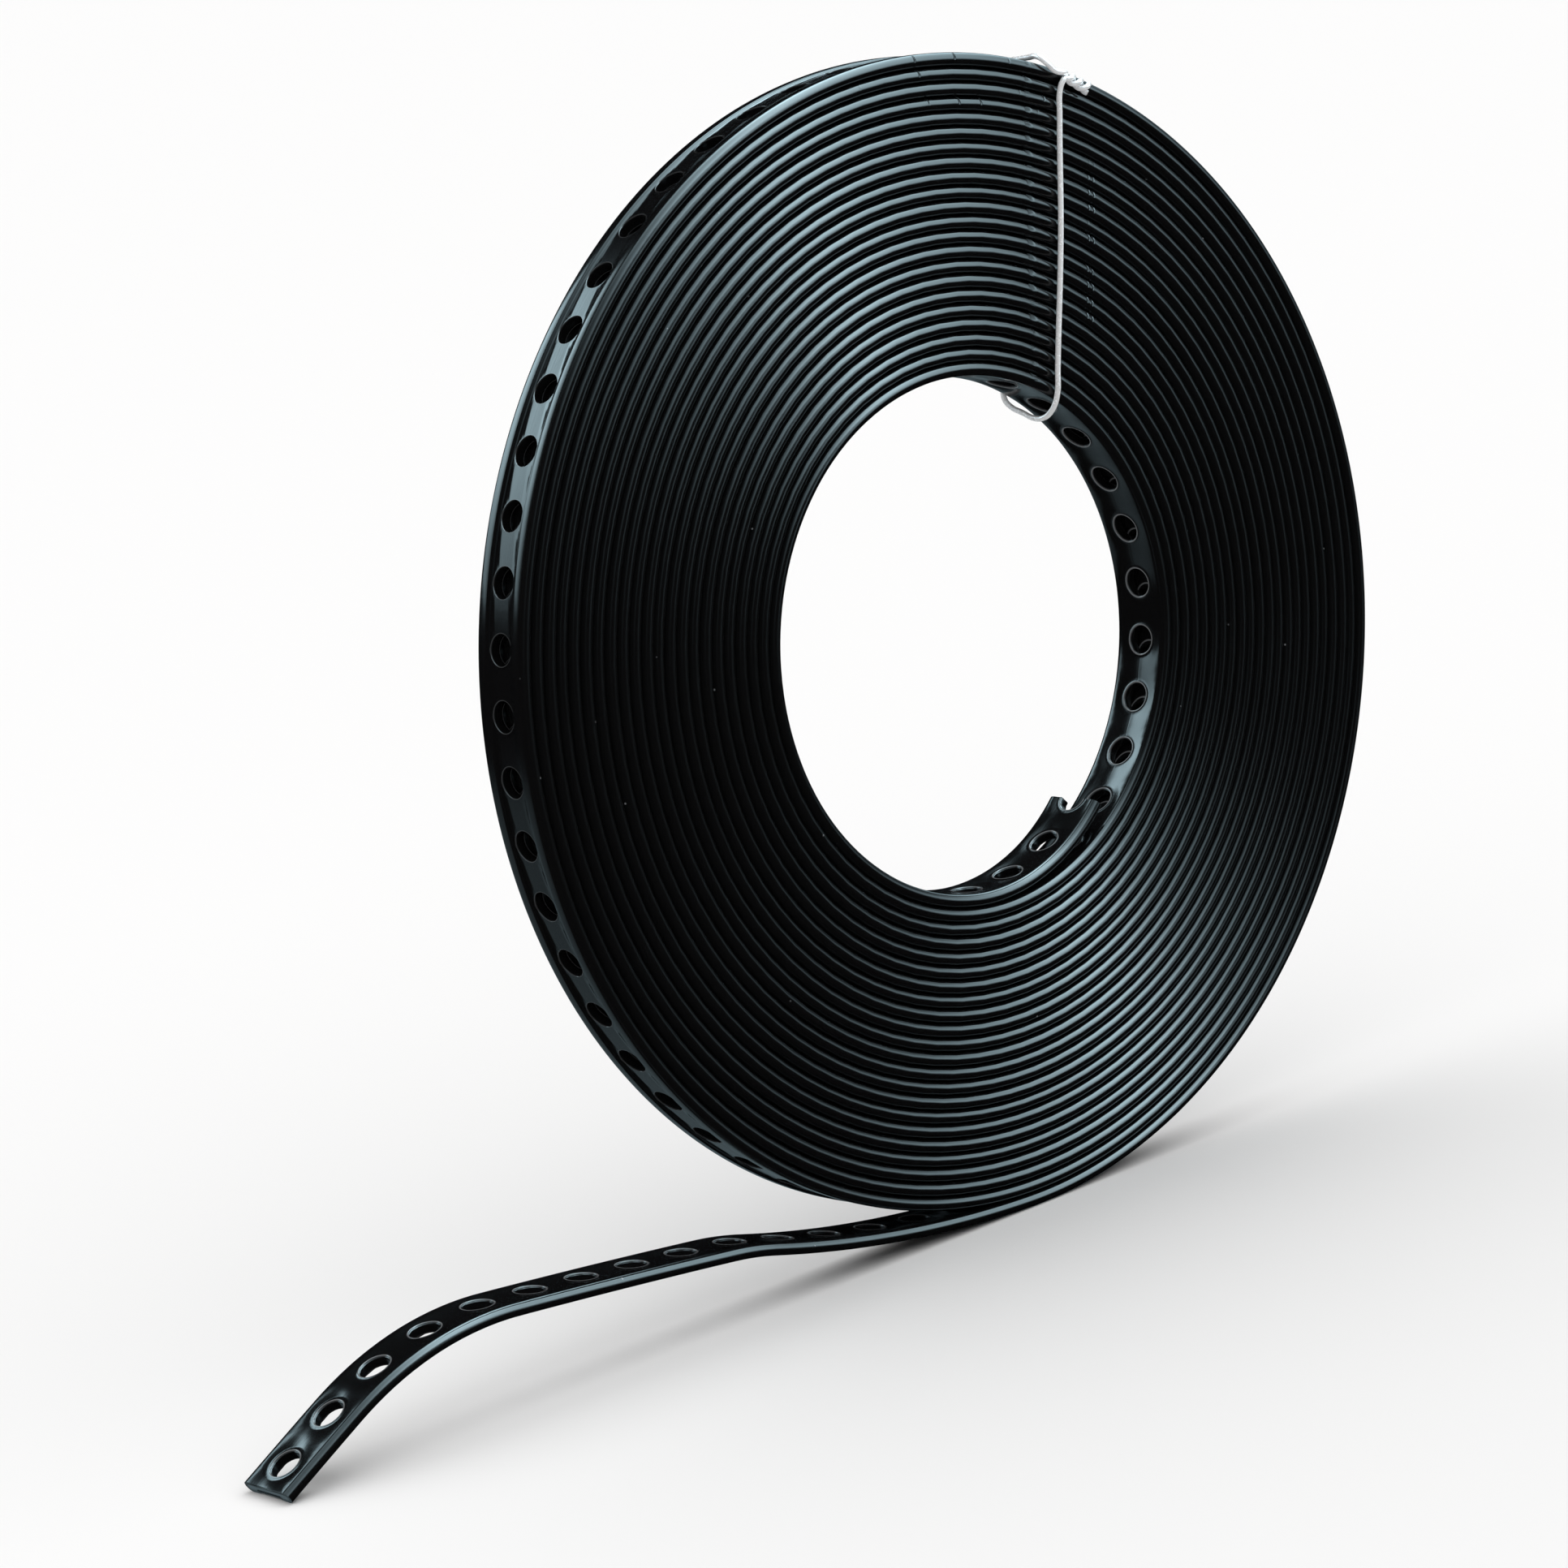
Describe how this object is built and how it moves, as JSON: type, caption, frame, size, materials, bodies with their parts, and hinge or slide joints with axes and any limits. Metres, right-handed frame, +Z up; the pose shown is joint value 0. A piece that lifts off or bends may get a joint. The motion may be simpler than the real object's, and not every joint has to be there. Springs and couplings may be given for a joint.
{
  "type": "coil of perforated steel strap",
  "caption": "Flat coil of black plastic-coated perforated steel strap with a free tail, held by a twisted tie wire; cut to length and fixed through its holes.",
  "frame": {"origin": "on the floor, under the middle of the whole object", "axes": "+Z up; +Y along the coil's axis, away from the viewer; +X to the right, the tail runs out to -X"},
  "size_m": [0.2664, 0.0142, 0.2013],
  "materials": {
    "coated_strap": "gloss",
    "tie_wire": "satin"
  },
  "bodies": {
    "root": {"strap": "coated_strap", "tie_wire": "tie_wire"}
  },
  "joints": []
}
